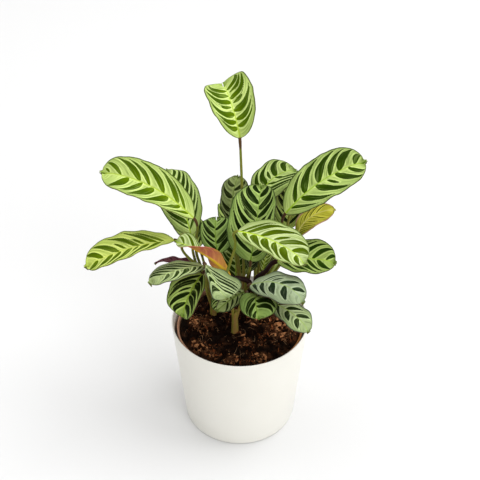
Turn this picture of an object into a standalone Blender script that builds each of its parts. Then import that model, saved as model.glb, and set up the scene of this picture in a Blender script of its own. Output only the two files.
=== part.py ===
"""Potted ctenanthe: striped leaves on slender stalks, in a nursery pot inside a plain white cover pot.

Metres, +Z up. The origin is the centre of the cover pot's flat bottom, and -Y is the front.
Sizes in the tables are millimetres and degrees, and MM turns them into metres.
"""

import math
from collections import namedtuple

import bmesh
import bpy
import numpy as np
from mathutils import Vector, noise

MM = 0.001
GAP = 0.3  # between pieces that touch

# Cover pot, moulded plastic, open at the top
COVER_HEIGHT = 122.7
COVER_RIM_RADIUS = 68.0
COVER_BASE_RADIUS = 57.3
COVER_WALL = 1.5
COVER_FLOOR = 2.5
COVER_CORNER = 3.0
COVER_SIDES = 48

# Nursery pot, thin brown plastic, held upright by the soil's weight
NURSERY_RIM_RADIUS = 63.0
NURSERY_MOUTH_RADIUS = 61.3
NURSERY_BASE_RADIUS = 45.0
NURSERY_BOTTOM = COVER_FLOOR + GAP
NURSERY_TOP = 115.0
NURSERY_BAND = 4.5
NURSERY_WALL = 1.0
NURSERY_SIDES = 40
DRAIN_HOLES = 6
DRAIN_HOLE_RADIUS = 4.0
DRAIN_CIRCLE = 28.0

# Potting soil, a lumpy fill that the shoots stand in
SOIL_LEVEL = 112.0
SOIL_LUMP = 2.6
SOIL_LUMP_SIZE = 11.0
SOIL_RINGS = 9
SOIL_SIDES = 36
SHOOT_BOTTOM = 100.0

# Shoots: where each sheathed base stands on the soil
SHEATH_TOP = 142.0
SHEATH_RADII = (4.2, 2.7)
STALK_RADII = (1.7, 1.15)
STOUT_STALKS = {"leaf_05": 1.9, "leaf_15": 1.8}  # how many times as thick as the others
STALK_START = 119.0
STALK_END = 1.0  # from the knee to the end of the stalk, which meets the blade at a slant
STALK_BEND = 5.0
SHOOTS = {
    "stem_a": (-5, -8),
    "stem_b": (-27, 19),
    "stem_c": (3, 28),
    "stem_d": (14, 31),
    "stem_e": (24, 15),
}

# Leaves. The knee is where the stalk meets the blade. The blade leaves it along a compass heading,
# counter-clockwise from +X, and a rise above level, both taken at its middle. Arch is how far it bends down
# from end to end, roll turns it about its midrib, twist is the roll gained along it, cup folds its halves up
# and curl turns their margins back down. Belly is where it is widest, and via lists what its stalk passes.
Leaf = namedtuple(
    "Leaf",
    "name shoot knee heading rise length width tone arch roll twist cup curl belly wave via",
    defaults=("mid", 30, 0, 0, 20, 20, 0.56, 0.6, ()),
)

LEAVES = (
    Leaf("leaf_01", "stem_c", (0, 30, 313), 110, 34, 63, 47, "lime", arch=84, roll=-15, cup=30, curl=8,
         belly=0.68, via=((3, 30, 228), (2, 30, 260))),
    Leaf("leaf_02", "stem_b", (-42, 0, 246), 164, 21, 100, 41, "lime", arch=52, roll=-25, twist=-24,
         cup=28, curl=14, via=((-38, 18, 174), (-42, 15, 195), (-41, 10, 216))),
    Leaf("leaf_03", "stem_b", (-46, 15, 214), 118, 40, 73, 42, "mid", arch=50, roll=-6, cup=10, curl=30,
         via=((-45, 18, 190),)),
    Leaf("leaf_04", "stem_b", (-60, -5, 225), -170, -13, 90, 40, "lime", arch=40, twist=-20,
         via=((-38, 14, 177), (-48, 8, 192), (-54, 3, 206))),
    Leaf("leaf_05", "stem_e", (-9, -19, 193), 173, 36, 64, 24, "flushed", arch=36, roll=60, twist=-190,
         cup=40, curl=10, belly=0.8, via=((12, 14, 150), (8, 8, 164), (-2, -4, 178))),
    Leaf("leaf_06", "stem_a", (-21, 5, 200), 93, 32, 40, 34, "deep", arch=50, belly=0.5,
         via=((-13, 0, 165),)),
    Leaf("leaf_07", "stem_c", (-8, 42, 209), 76, 56, 49, 28, "olive", arch=40, via=((-4, 38, 170),)),
    Leaf("leaf_08", "stem_c", (10, -8, 202), 76, 56, 80, 48, "deep", arch=80, roll=-6, cup=26, curl=12,
         belly=0.45, via=((6, 20, 150), (8, 11, 170))),
    Leaf("leaf_09", "stem_a", (-2, -22, 248), -25, -12, 71, 40, "lime", arch=42, roll=12, cup=26, curl=14,
         via=((-9, -12, 165), (-13, -21, 193), (-9, -23, 212), (-4, -22, 234))),
    Leaf("leaf_10", "stem_d", (15, 36, 235), 37, 23, 57, 43, "mid", arch=60, roll=5, cup=28, curl=16,
         via=((15, 33, 190),)),
    Leaf("leaf_11", "stem_d", (47, 34, 208), 86, 46, 44, 32, "olive", arch=50, via=((34, 34, 165),)),
    Leaf("leaf_12", "stem_d", (42, 10, 244), 16, 30, 91, 47, "mid", arch=36, roll=34, cup=34, curl=12,
         via=((33, 24, 188), (40, 14, 221))),
    Leaf("leaf_13", "stem_d", (51, 31, 240), 22, 39, 57, 26, "olive", roll=12, via=((40, 25, 190),)),
    Leaf("leaf_14", "stem_d", (54, 15, 212), 2, 42, 52, 19, "amber", arch=80, roll=44, cup=10, curl=10,
         via=((44, 26, 178),)),
    Leaf("leaf_15", "stem_e", (35, -4, 199), -8, 5, 57, 40, "mid", roll=20, cup=24, curl=16,
         via=((16, 8, 166), (25, 2, 182))),
    Leaf("leaf_16", "stem_e", (10, -18, 182), -31, 4, 60, 39, "cool", arch=50, roll=4,
         via=((14, 2, 158),)),
    Leaf("leaf_17", "stem_e", (30, -27, 168), -38, -16, 47, 31, "cool", via=((27, -4, 146),)),
    Leaf("leaf_18", "stem_e", (16, -26, 178), -87, -8, 34, 37, "mid", arch=70, via=((20, -6, 150),)),
    Leaf("leaf_19", "stem_b", (-32, -24, 212), -53, -24, 41, 36, "cool", roll=-22, twist=46, cup=18, curl=10,
         belly=0.84, via=((-27, -2, 165), (-26, -16, 190))),
    Leaf("leaf_20", "stem_a", (5, -18, 173), -136, -3, 37, 17, "deep", roll=-50, cup=30, via=((0, -8, 145),)),
    Leaf("leaf_21", "stem_b", (-35, -17, 195), -133, -52, 48, 42, "olive", arch=46, cup=36, belly=0.46,
         via=((-33, 4, 160),)),
    Leaf("leaf_22", "stem_b", (-19, 8, 152), -96, -16, 25, 16, "deep", via=((-23, 15, 138),)),
    Leaf("leaf_23", "stem_b", (-33, -12, 200), -157, -2, 58, 38, "cool", arch=50, roll=14, cup=8,
         via=((-34, 4, 170),)),
    Leaf("leaf_24", "stem_b", (-47, 14, 185), 172, -10, 38, 14, "purple", roll=20, via=((-38, 19, 160),)),
    Leaf("leaf_25", "stem_e", (22, 14, 172), 56, 64, 28, 17, "mid", arch=20, roll=-10,
         via=((22, 15, 145),)),
    Leaf("leaf_26", "stem_c", (10, 17, 169), 66, 62, 25, 15, "mid", arch=20, via=((7, 22, 145),)),
    Leaf("leaf_27", "stem_d", (34, 46, 200), 62, 16, 56, 36, "mid", arch=50, via=((22, 46, 165),)),
    Leaf("leaf_28", "stem_c", (-4, 46, 186), 96, 12, 56, 32, "mid", arch=50, via=((0, 38, 150),)),
    Leaf("leaf_29", "stem_b", (-40, 36, 184), 118, 10, 52, 32, "olive", arch=50, via=((-32, 28, 150),)),
    Leaf("leaf_30", "stem_c", (-4, 42, 137), 92, 62, 46, 36, "mid", arch=30, via=((0, 34, 125),)),
    Leaf("leaf_31", "stem_d", (24, 44, 140), 80, 62, 44, 34, "mid", arch=30, via=((19, 37, 127),)),
)

# Blade build, shared by every leaf
STATIONS = (0, 0.06, 0.16, 0.29, 0.43, 0.57, 0.7, 0.82, 0.91, 0.965, 1)
COLUMNS = (-1, -0.6, -0.18, 0, 0.18, 0.6, 1)
NARROW_COLUMNS = (-1, -0.5, 0, 0.5, 1)
NARROW = 25  # blades up to this width have fewer columns and every other station
TIP_START = 0.965  # from here on the blade is only its small pointed tip
BLADE_THICKNESS = 0.8
MIDRIB_THICKNESS = 1.7
LEAST_HALF_WIDTH = 0.9
WAVES = 2.6

TONES = {
    "lime": (0.46, 0.58, 0.17),
    "mid": (0.30, 0.42, 0.18),
    "deep": (0.16, 0.27, 0.10),
    "cool": (0.34, 0.43, 0.29),
    "olive": (0.22, 0.28, 0.11),
    "amber": (0.42, 0.38, 0.06),
    "flushed": (0.52, 0.24, 0.12),
    "purple": (0.12, 0.05, 0.07),
}


def clear_scene():
    for found in list(bpy.data.objects):
        bpy.data.objects.remove(found, do_unlink=True)


def coloured(obj, colour, roughness):
    """Give the object its own Principled material."""
    material = bpy.data.materials.new(obj.name)
    material.use_nodes = True
    shader = material.node_tree.nodes["Principled BSDF"]
    shader.inputs["Base Color"].default_value = (*colour, 1.0)
    shader.inputs["Roughness"].default_value = roughness
    shader.inputs["Metallic"].default_value = 0.0
    obj.data.materials.append(material)
    return obj


def mesh_object(name, bm):
    """Turn a bmesh into a linked object with its faces outward."""
    bmesh.ops.recalc_face_normals(bm, faces=bm.faces)
    mesh = bpy.data.meshes.new(name)
    bm.to_mesh(mesh)
    bm.free()
    obj = bpy.data.objects.new(name, mesh)
    bpy.context.scene.collection.objects.link(obj)
    return obj


def lathe(profile, sides):
    """Spin a list of (radius, height) points in millimetres about Z, from the axis back to the axis."""
    bm = bmesh.new()
    verts = [bm.verts.new((radius * MM, 0, height * MM)) for radius, height in profile]
    edges = [bm.edges.new(pair) for pair in zip(verts, verts[1:])]
    bmesh.ops.spin(
        bm, geom=verts + edges, cent=(0, 0, 0), axis=(0, 0, 1), angle=math.tau, steps=sides, use_merge=True
    )
    bmesh.ops.remove_doubles(bm, verts=bm.verts, dist=1e-6)
    return bm


def drill(target, places, radius, bottom, top, sides=12):
    """Cut plain round holes that stand upright through the target, then leave it a plain mesh."""
    bm = bmesh.new()
    for x, y in places:
        made = bmesh.ops.create_cone(
            bm,
            cap_ends=True,
            segments=sides,
            radius1=radius * MM,
            radius2=radius * MM,
            depth=(top - bottom) * MM,
        )
        shift = Vector((x, y, (top + bottom) / 2)) * MM
        bmesh.ops.translate(bm, verts=made["verts"], vec=shift)
    cutter = mesh_object(target.name + "_cutter", bm)
    cut = target.modifiers.new("holes", "BOOLEAN")
    cut.operation = "DIFFERENCE"
    cut.object = cutter
    bake(target)
    bpy.data.objects.remove(cutter, do_unlink=True)


def bake(obj):
    """Apply every modifier of the object to its mesh."""
    bpy.context.view_layer.update()
    graph = bpy.context.evaluated_depsgraph_get()
    mesh = bpy.data.meshes.new_from_object(obj.evaluated_get(graph))
    obj.modifiers.clear()
    obj.data = mesh


def on_line(start, end, height):
    """Radius at a height on the straight wall between two (radius, height) points."""
    share = (height - start[1]) / (end[1] - start[1])
    return start[0] + (end[0] - start[0]) * share


def cover_pot():
    base, rim, top = COVER_BASE_RADIUS, COVER_RIM_RADIUS, COVER_HEIGHT
    corner, floor, wall = COVER_CORNER, COVER_FLOOR, COVER_WALL
    outside = [
        (base + corner * (math.sin(turn) - 1), corner * (1 - math.cos(turn)))
        for turn in (0, math.pi / 6, math.pi / 3, math.pi / 2)
    ]
    inside = [(base - wall, floor + corner), (base - wall - 0.9, floor + 0.9), (base - wall - corner, floor)]
    lip = [(rim, top - 0.6), (rim - 0.4, top), (rim - wall + 0.4, top), (rim - wall, top - 0.6)]
    bm = lathe([(0, 0), *outside, *lip, *inside, (0, floor)], COVER_SIDES)
    return coloured(mesh_object("cover_pot", bm), (0.84, 0.83, 0.79), 0.42)


def nursery_wall():
    """The inside of the nursery pot's wall, as its lowest and highest point."""
    low = (NURSERY_BASE_RADIUS - NURSERY_WALL, NURSERY_BOTTOM + NURSERY_WALL)
    high = (NURSERY_MOUTH_RADIUS - 0.8, NURSERY_TOP - NURSERY_BAND)
    return low, high


def nursery_pot():
    low, high = nursery_wall()
    bm = lathe(
        [
            (0, NURSERY_BOTTOM),
            (NURSERY_BASE_RADIUS, NURSERY_BOTTOM),
            (high[0] + NURSERY_WALL, high[1] - 1),
            (NURSERY_RIM_RADIUS, high[1]),
            (NURSERY_RIM_RADIUS, NURSERY_TOP),
            (NURSERY_MOUTH_RADIUS, NURSERY_TOP),
            high,
            low,
            (0, low[1]),
        ],
        NURSERY_SIDES,
    )
    pot = mesh_object("nursery_pot", bm)
    turns = [math.tau * i / DRAIN_HOLES for i in range(DRAIN_HOLES)]
    places = [(DRAIN_CIRCLE * math.cos(turn), DRAIN_CIRCLE * math.sin(turn)) for turn in turns]
    drill(pot, places, DRAIN_HOLE_RADIUS, NURSERY_BOTTOM - 1, NURSERY_BOTTOM + 3, sides=10)
    return coloured(pot, (0.22, 0.10, 0.06), 0.5)


def potting_soil():
    low, high = nursery_wall()
    floor = low[1] + GAP
    edge = on_line(low, high, SOIL_LEVEL - 1) - GAP - 0.2
    rings = [edge * (SOIL_RINGS - i) / SOIL_RINGS for i in range(1, SOIL_RINGS)]
    foot = (on_line(low, high, floor) - GAP - 0.2, floor)
    top = [(radius, SOIL_LEVEL) for radius in rings]
    bm = lathe([(0, floor), foot, (edge, SOIL_LEVEL - 1), *top, (0, SOIL_LEVEL)], SOIL_SIDES)
    for vert in bm.verts:
        radius = vert.co.xy.length / MM
        if vert.co.z > (SOIL_LEVEL - 0.5) * MM:
            lump = noise.noise(Vector((vert.co.x, vert.co.y, 0.02)) / (SOIL_LUMP_SIZE * MM))
            fine = noise.noise(Vector((vert.co.x, vert.co.y, 0.07)) / (0.4 * SOIL_LUMP_SIZE * MM))
            calm = min(1.0, (edge - radius) / 8)
            vert.co.z += (SOIL_LUMP * lump + 0.5 * SOIL_LUMP * fine) * calm * MM
    soil = mesh_object("potting_soil", bm)
    drill(soil, SHOOTS.values(), SHEATH_RADII[0] + GAP + 0.1, SHOOT_BOTTOM - GAP, SOIL_LEVEL + 12)
    return coloured(soil, (0.045, 0.026, 0.018), 0.95)


def half_width(share, belly):
    """Half the blade's width at a share of its length, as a share of its widest."""
    along = np.clip(np.asarray(share, float) / TIP_START, 0, 1)
    from_belly = np.where(along < belly, (belly - along) / belly, (along - belly) / (1 - belly))
    power = np.where(along < belly, 2.1, 3.0)
    root = np.where(along < belly, 1.5, 2.1)
    body = np.clip(1 - from_belly**power, 0, None) ** (1 / root)
    tip = 0.07 * np.clip((1 - np.asarray(share, float)) / (1 - TIP_START), 0, 1)
    return np.maximum(body, tip)


def blade_frame(leaf, share):
    """Unit vectors at shares of the length: along the midrib, to the left side and up from the blade."""
    share = np.asarray(share, float)
    heading = np.radians(leaf.heading) + 0 * share
    pitch = np.radians(leaf.rise + leaf.arch * (0.5 - share))
    roll = np.radians(leaf.roll + leaf.twist * (share - 0.5))[:, None]
    flat = np.cos(pitch)
    along = np.stack([flat * np.cos(heading), flat * np.sin(heading), np.sin(pitch)], -1)
    left = np.stack([-np.sin(heading), np.cos(heading), 0 * heading], -1)
    up = np.cross(along, left)
    return along, left * np.cos(roll) + up * np.sin(roll), up * np.cos(roll) - left * np.sin(roll)


def blade_points(leaf, stations, columns):
    """Points of the blade's upper face in millimetres from its knee, as rows along and columns across."""
    fine = np.linspace(0, 1, 121)
    along = blade_frame(leaf, fine)[0]
    steps = (along[1:] + along[:-1]) / 2 * leaf.length / (len(fine) - 1)
    path = np.vstack([[0, 0, 0], np.cumsum(steps, 0)])
    midrib = np.stack([np.interp(stations, fine, path[:, axis]) for axis in range(3)], -1)
    _, left, up = blade_frame(leaf, stations)
    s = np.asarray(stations, float)[:, None]
    v = np.asarray(columns, float)[None, :]
    u = np.abs(v)
    shape = half_width(s, leaf.belly)
    half = np.maximum(leaf.width / 2 * shape, LEAST_HALF_WIDTH)
    cup, curl = math.radians(leaf.cup), math.radians(leaf.curl)
    out = (math.sin(cup) - np.sin(cup - curl * u)) / curl * half * np.sign(v)
    lift = (np.cos(cup - curl * u) - math.cos(cup)) / curl * half
    wave = leaf.wave * u**2 * np.sin(math.tau * WAVES * s + np.where(v > 0, 2.2, 0)) * shape
    nose = -0.16 * leaf.width * np.clip((s - 0.84) / 0.16, 0, 1) ** 2 * (1 - u)
    return midrib[:, None] + left[:, None] * out[..., None] + up[:, None] * (lift + wave + nose)[..., None]


def blade(leaf, plant):
    """A thin curved blade with its midrib standing out below, both faces split into the same triangles."""
    stations, columns = (STATIONS, COLUMNS) if leaf.width > NARROW else (STATIONS[::2], NARROW_COLUMNS)
    points = blade_points(leaf, stations, columns) * MM
    bm = bmesh.new()
    rows = [[bm.verts.new(point) for point in row] for row in points]
    for near, far in zip(rows, rows[1:]):
        for i in range(len(columns) - 1):
            bm.faces.new((near[i], far[i + 1], near[i + 1]))
            bm.faces.new((near[i], far[i], far[i + 1]))
    mesh = bpy.data.meshes.new(leaf.name)
    bm.to_mesh(mesh)
    bm.free()
    obj = bpy.data.objects.new(leaf.name, mesh)
    bpy.context.scene.collection.objects.link(obj)
    obj.parent = plant
    obj.location = Vector(leaf.knee) * MM
    rib = obj.vertex_groups.new(name="midrib")
    for row, share in enumerate(stations):
        rib.add([row * len(columns) + len(columns) // 2], max(0.0, 0.95 - share) if share else 0.3, "REPLACE")
    sheet = obj.modifiers.new("thickness", "SOLIDIFY")
    sheet.thickness = MIDRIB_THICKNESS * MM
    sheet.offset = -1
    sheet.vertex_group = rib.name
    sheet.thickness_vertex_group = BLADE_THICKNESS / MIDRIB_THICKNESS
    return coloured(obj, TONES[leaf.tone], 0.45)


def tube(name, points, radii, resolution=3):
    """A round rod through the points, in millimetres, its radius going evenly from one end to the other."""
    curve = bpy.data.curves.new(name, "CURVE")
    curve.dimensions = "3D"
    curve.bevel_depth = MM
    curve.bevel_resolution = 1
    curve.use_fill_caps = True
    spline = curve.splines.new("BEZIER")
    spline.resolution_u = resolution
    spline.bezier_points.add(len(points) - 1)
    for i, (place, knot) in enumerate(zip(points, spline.bezier_points)):
        knot.co = Vector(place) * MM
        knot.handle_left_type = "AUTO"
        knot.handle_right_type = "AUTO"
        knot.radius = radii[0] + (radii[1] - radii[0]) * i / (len(points) - 1)
    rod = bpy.data.objects.new(name, curve)
    bpy.context.scene.collection.objects.link(rod)
    bpy.context.view_layer.update()
    graph = bpy.context.evaluated_depsgraph_get()
    mesh = bpy.data.meshes.new_from_object(rod.evaluated_get(graph))
    bpy.data.objects.remove(rod, do_unlink=True)
    bm = bmesh.new()
    bm.from_mesh(mesh)
    bmesh.ops.remove_doubles(bm, verts=bm.verts, dist=1e-6)
    return mesh_object(name, bm)


def stalk(leaf, turn):
    """The leaf's stalk, from inside its sheath to just short of the blade."""
    x, y = SHOOTS[leaf.shoot]
    knee = Vector(leaf.knee)
    along = Vector(blade_frame(leaf, [0.0])[0][0])
    slant = (along + (knee - Vector(leaf.via[-1])).normalized()).normalized()
    start = (x + 1.2 * math.cos(turn), y + 1.2 * math.sin(turn), STALK_START + 0.6 * turn)
    ends = [knee - slant * STALK_BEND, knee - slant * STALK_END]
    stout = STOUT_STALKS.get(leaf.name, 1.0)
    radii = [radius * stout for radius in STALK_RADII]
    return tube(leaf.name + "_stalk", [start, *leaf.via, *ends], radii)


def shoot(name, plant):
    """A sheathed base with the stalks that leave it, fused into one body."""
    x, y = SHOOTS[name]
    obj = tube(name, [(x, y, SHOOT_BOTTOM), (x, y, SOIL_LEVEL + 8), (x, y, SHEATH_TOP)], SHEATH_RADII, 1)
    own = [leaf for leaf in LEAVES if leaf.shoot == name]
    helpers = bpy.data.collections.new(name + "_stalks")
    bpy.context.scene.collection.children.link(helpers)
    for i, leaf in enumerate(own):
        rod = stalk(leaf, math.tau * i / len(own))
        bpy.context.scene.collection.objects.unlink(rod)
        helpers.objects.link(rod)
    union = obj.modifiers.new("stalks", "BOOLEAN")
    union.operation = "UNION"
    union.operand_type = "COLLECTION"
    union.collection = helpers
    bake(obj)
    for rod in list(helpers.objects):
        bpy.data.objects.remove(rod, do_unlink=True)
    bpy.data.collections.remove(helpers)
    obj.parent = plant
    return coloured(obj, (0.20, 0.19, 0.07), 0.5)


def main():
    clear_scene()
    cover_pot()
    nursery_pot()
    potting_soil()
    plant = bpy.data.objects.new("plant", None)
    bpy.context.scene.collection.objects.link(plant)
    for name in SHOOTS:
        shoot(name, plant)
    for leaf in LEAVES:
        blade(leaf, plant)


main()
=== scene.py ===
# %% [markdown]
# # A potted ctenanthe, dressed for a portrait
# This lesson starts from plain solids of a houseplant: two pots, soil, five shoots and thirty-one leaves.
# We load them as a fixed frame, then grow a finely shaped and painted piece over each one.
# Nothing moves on this object, so every piece rides on the one body, called root.

# %% Load the solids
import math
from collections import namedtuple

import bpy
import numpy as np
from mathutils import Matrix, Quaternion, Vector, noise


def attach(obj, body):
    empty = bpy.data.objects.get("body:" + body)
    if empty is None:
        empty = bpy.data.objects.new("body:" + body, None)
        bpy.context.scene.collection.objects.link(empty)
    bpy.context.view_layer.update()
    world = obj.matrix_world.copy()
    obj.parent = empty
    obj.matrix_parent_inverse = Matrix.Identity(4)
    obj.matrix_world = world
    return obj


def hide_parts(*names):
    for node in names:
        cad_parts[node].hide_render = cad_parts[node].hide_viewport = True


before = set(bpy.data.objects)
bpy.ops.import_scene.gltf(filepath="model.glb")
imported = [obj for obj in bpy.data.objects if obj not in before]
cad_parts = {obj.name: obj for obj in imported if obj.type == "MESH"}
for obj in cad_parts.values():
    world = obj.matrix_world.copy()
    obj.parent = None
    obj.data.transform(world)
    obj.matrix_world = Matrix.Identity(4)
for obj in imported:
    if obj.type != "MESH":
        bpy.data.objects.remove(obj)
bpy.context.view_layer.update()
MM = 0.001
print("solids loaded:", len(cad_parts))

# %% [markdown]
# ## Shader sums as Python sums
# A finish on a real surface is a sum of small causes: a stain here, a vein there, a darker edge.
# In the node editor each sum is a box with wires, which soon hides the idea.
# So we wrap a socket in a small class, and let plus, minus and times lay the Math nodes for us. A soft step
# between two limits is what most masks need, so it has a word of its own.


# %% A socket that knows arithmetic
class Wire:
    """A socket on which Python's operators work by adding Math nodes."""

    def __init__(self, finish, socket):
        self.finish = finish
        self.socket = socket

    def maths(self, what, first, second):
        return self.finish.node("Math", {"operation": what}, {0: first, 1: second})

    def __add__(self, other):
        return self.maths("ADD", self, other)

    def __sub__(self, other):
        return self.maths("SUBTRACT", self, other)

    def __rsub__(self, other):
        return self.maths("SUBTRACT", other, self)

    def __mul__(self, other):
        return self.maths("MULTIPLY", self, other)

    def __abs__(self):
        return self.maths("ABSOLUTE", self, 0.0)

    def between(self, low, high):
        """A soft step that is 0 below low and 1 above high."""
        values = {"Value": self, "From Min": low, "From Max": high}
        return self.finish.node("MapRange", {"interpolation_type": "SMOOTHSTEP"}, values)

    __radd__ = __add__
    __rmul__ = __mul__


print("wires can add, subtract and multiply")

# %% [markdown]
# Each finish is one Principled material. One method makes any other node: its settings go in first,
# because they decide which sockets it has, and then come the values or wires of those sockets.
# Most surfaces are then built up in coats, each one a colour and the share of it that shows.


# %% A finish and its tools
class Finish:
    """A Principled material under construction."""

    def __init__(self, name, **constants):
        self.material = bpy.data.materials.new(name)
        self.material.use_nodes = True
        self.tree = self.material.node_tree
        self.shader = self.tree.nodes["Principled BSDF"]
        self.paint(**constants)

    def node(self, kind, settings=None, values=None, take=0):
        made = self.tree.nodes.new("ShaderNode" + kind)
        for key, value in (settings or {}).items():
            setattr(made, key, value)
        for key, value in (values or {}).items():
            self.feed(made.inputs[key], value)
        return Wire(self, made.outputs[take])

    def feed(self, socket, value):
        if isinstance(value, Wire):
            self.tree.links.new(value.socket, socket)
        elif socket.type == "RGBA":
            socket.default_value = (*value, 1.0)
        else:
            socket.default_value = value

    def paint(self, **sockets):
        for name, value in sockets.items():
            socket = name.replace("_", " ").title().replace("Ior", "IOR")
            self.feed(self.shader.inputs[socket], value)

    def mix(self, share, first, second):
        """Blend two colours by a share from 0 to 1."""
        return self.node("Mix", {"data_type": "RGBA"}, {0: share, 6: first, 7: second}, take=2)

    def coats(self, colour, *coats):
        """Lay coats over a colour, each given as its share from 0 to 1 and its own colour."""
        for share, tone in coats:
            colour = self.mix(share, colour, tone)
        return colour

    def place(self):
        return self.node("TexCoord", take="Object")

    def split(self, vector):
        """The three numbers of a vector, one wire each."""
        made = self.node("SeparateXYZ", {}, {0: vector})
        return [Wire(self, socket) for socket in made.socket.node.outputs]

    def place_parts(self):
        """The point being shaded, as three wires in metres."""
        return self.split(self.place())

    def mottle(self, size, detail=3.0, roughness=0.55, at=None):
        """Soft noise from 0 to 1 whose patches are about this many millimetres across."""
        values = {"Vector": at or self.place(), "Scale": 1 / (size * MM), "Detail": detail}
        values["Roughness"] = roughness
        return self.node("TexNoise", {}, values)

    def attribute(self, name):
        """The three numbers that a mesh carries under this name."""
        return self.split(self.node("Attribute", {"attribute_name": name}, take="Vector"))

    def bump(self, height, depth):
        """Relief from a height that runs from 0 to 1, this many millimetres deep."""
        values = {"Height": height, "Distance": depth * MM, "Strength": 1.0}
        self.paint(normal=self.node("Bump", {}, values))


print("finish tools ready")

# %% [markdown]
# ## Meshes from arrays
# Leaves, stalks and soil are all grids of points worked out with NumPy.
# This helper turns such points into an object, gives it its finishes, and hangs on it any numbers that its
# shader wants to read, such as how far a point lies from the leaf's edge.


# %% From arrays to a piece on the plant
def new_object(name, data):
    """An object in the scene with this mesh, curve, light or camera."""
    made = bpy.data.objects.new(name, data)
    bpy.context.scene.collection.objects.link(made)
    return made


def make_piece(name, points, faces, finishes, numbers=None, slots=None, sharp=50):
    """An object from points in millimetres. numbers holds one vector per point for the shader."""
    mesh = bpy.data.meshes.new(name)
    mesh.from_pydata((np.asarray(points) * MM).tolist(), [], faces)
    for finish in finishes:
        mesh.materials.append(finish.material)
    if slots is not None:
        mesh.polygons.foreach_set("material_index", slots)
    for label, values in (numbers or {}).items():
        stored = mesh.attributes.new(label, "FLOAT_VECTOR", "POINT")
        stored.data.foreach_set("vector", np.asarray(values, np.float32).ravel())
    mesh.polygons.foreach_set("use_smooth", [True] * len(mesh.polygons))
    mesh.set_sharp_from_angle(angle=math.radians(sharp))
    return new_object(name, mesh)


def stands_for(piece, node, slot):
    """Let the piece ride on the plant in place of a plain solid."""
    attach(piece, "root")
    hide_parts(node)


print("piece tools ready")

# %% [markdown]
# Most pieces are rings of points, one after another. Pots and soil start and end in a single point on the
# axis, and tubes end in flat caps. Small meshes such as bark chips are joined into one piece.


# %% Faces over rings of points
def grid_faces(rows, columns, start=0, closed=False):
    """Quads over a grid of points, joined round if closed."""
    faces = []
    for row in range(rows - 1):
        for column in range(columns if closed else columns - 1):
            near = start + row * columns
            far = near + columns
            right = (column + 1) % columns
            faces.append((near + column, far + column, far + right, near + right))
    return faces


def spun_faces(rings, sides):
    """Faces over a first point on top, then rings of points, then a last point underneath."""
    faces = grid_faces(rings, sides, 1, closed=True)
    last = rings * sides + 1
    for i in range(sides):
        after = (i + 1) % sides
        faces.append((0, 1 + i, 1 + after))
        faces.append((last, last - sides + after, last - sides + i))
    return faces


def capped_faces(rings, sides):
    """Faces over the rings of a tube, with a flat cap on its first and its last ring."""
    faces = [face[::-1] for face in grid_faces(rings, sides, closed=True)]
    last = (rings - 1) * sides
    return faces + [tuple(reversed(range(sides))), tuple(range(last, last + sides))]


def joined(parts):
    """The points and faces of one mesh, from the points and faces of many."""
    points, faces, start = [], [], 0
    for part_points, part_faces in parts:
        faces += [tuple(start + i for i in face) for face in part_faces]
        points.append(part_points)
        start += len(part_points)
    return np.vstack(points), faces


print("ring tools ready")

# %% [markdown]
# ## Camera and light
# The plant is seen from above, as on a table in front of us. A 70 mm lens keeps the pot's sides nearly
# straight. Three wide soft discs light it: a window high on the right, a weaker one at the right front and
# a ceiling light over the left. The pot's left side and the floor beside it stay in a faint shade.

# %% Camera
LENS = 70
SENSOR_WIDTH = 36
PITCH = 37.45
TARGET = Vector((0.14, 0, 220.9)) * MM
DISTANCE = 870.7 * MM
camera_data = bpy.data.cameras.new("portrait")
camera_data.lens = LENS
camera_data.sensor_width = SENSOR_WIDTH
camera = new_object("portrait", camera_data)
tilt = math.radians(PITCH)
camera.location = TARGET + DISTANCE * Vector((0, -math.cos(tilt), math.sin(tilt)))
camera.rotation_euler = (math.pi / 2 - tilt, 0, 0)
bpy.context.scene.camera = camera
print("camera at", [round(value, 3) for value in camera.location])


# %% Lights
PLANT_MIDDLE = (0, 0, 0.15)
ROOM_TINT = (1, 0.988, 0.962, 1)
ROOM_GLOW = 0.635


def softbox(name, place, aim, size, power):
    """A round soft light. Its places and size are in metres, its power in watts."""
    data = bpy.data.lights.new(name, "AREA")
    data.shape = "DISK"
    data.size = size
    data.energy = power
    lamp = new_object(name, data)
    lamp.location = place
    lamp.rotation_euler = (Vector(aim) - Vector(place)).to_track_quat("-Z", "Y").to_euler()


softbox("window", (1.7, 0.3, 3.4), PLANT_MIDDLE, 2.6, 67)
softbox("front", (1.9, -2.7, 1.9), PLANT_MIDDLE, 2.4, 46)
softbox("ceiling", (-0.9, 0.9, 3.4), (-0.2, 0.2, 0), 3.0, 42)
world = bpy.data.worlds.new("room")
world.use_nodes = True
background = world.node_tree.nodes["Background"]
background.inputs["Color"].default_value = ROOM_TINT
background.inputs["Strength"].default_value = ROOM_GLOW
bpy.context.scene.world = world
bpy.context.scene.view_settings.view_transform = "Standard"
print("lights:", [thing.name for thing in bpy.data.lights])

# %% [markdown]
# A plain pale floor runs well past the picture's edges. It is stage, not part of the plant.

# %% Floor
table_top = Finish("floor_white", base_color=(0.752, 0.757, 0.765), roughness=0.8)
FLOOR_HALF = 3000
corners = [(-FLOOR_HALF, -FLOOR_HALF, 0), (FLOOR_HALF, -FLOOR_HALF, 0)]
corners += [(FLOOR_HALF, FLOOR_HALF, 0), (-FLOOR_HALF, FLOOR_HALF, 0)]
floor = make_piece("floor", corners, [(0, 1, 2, 3)], [table_top])
print("floor laid")

# %% [markdown]
# ## The two pots
# The cover pot is injection-moulded plastic in a warm off-white with a satin skin. Moulded plastic is never
# quite flat in tone, so a faint mottle and a very fine orange-peel relief go into its finish.
# A lathe profile gives both pots: a list of radius and height, spun round in many fine steps.


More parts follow.
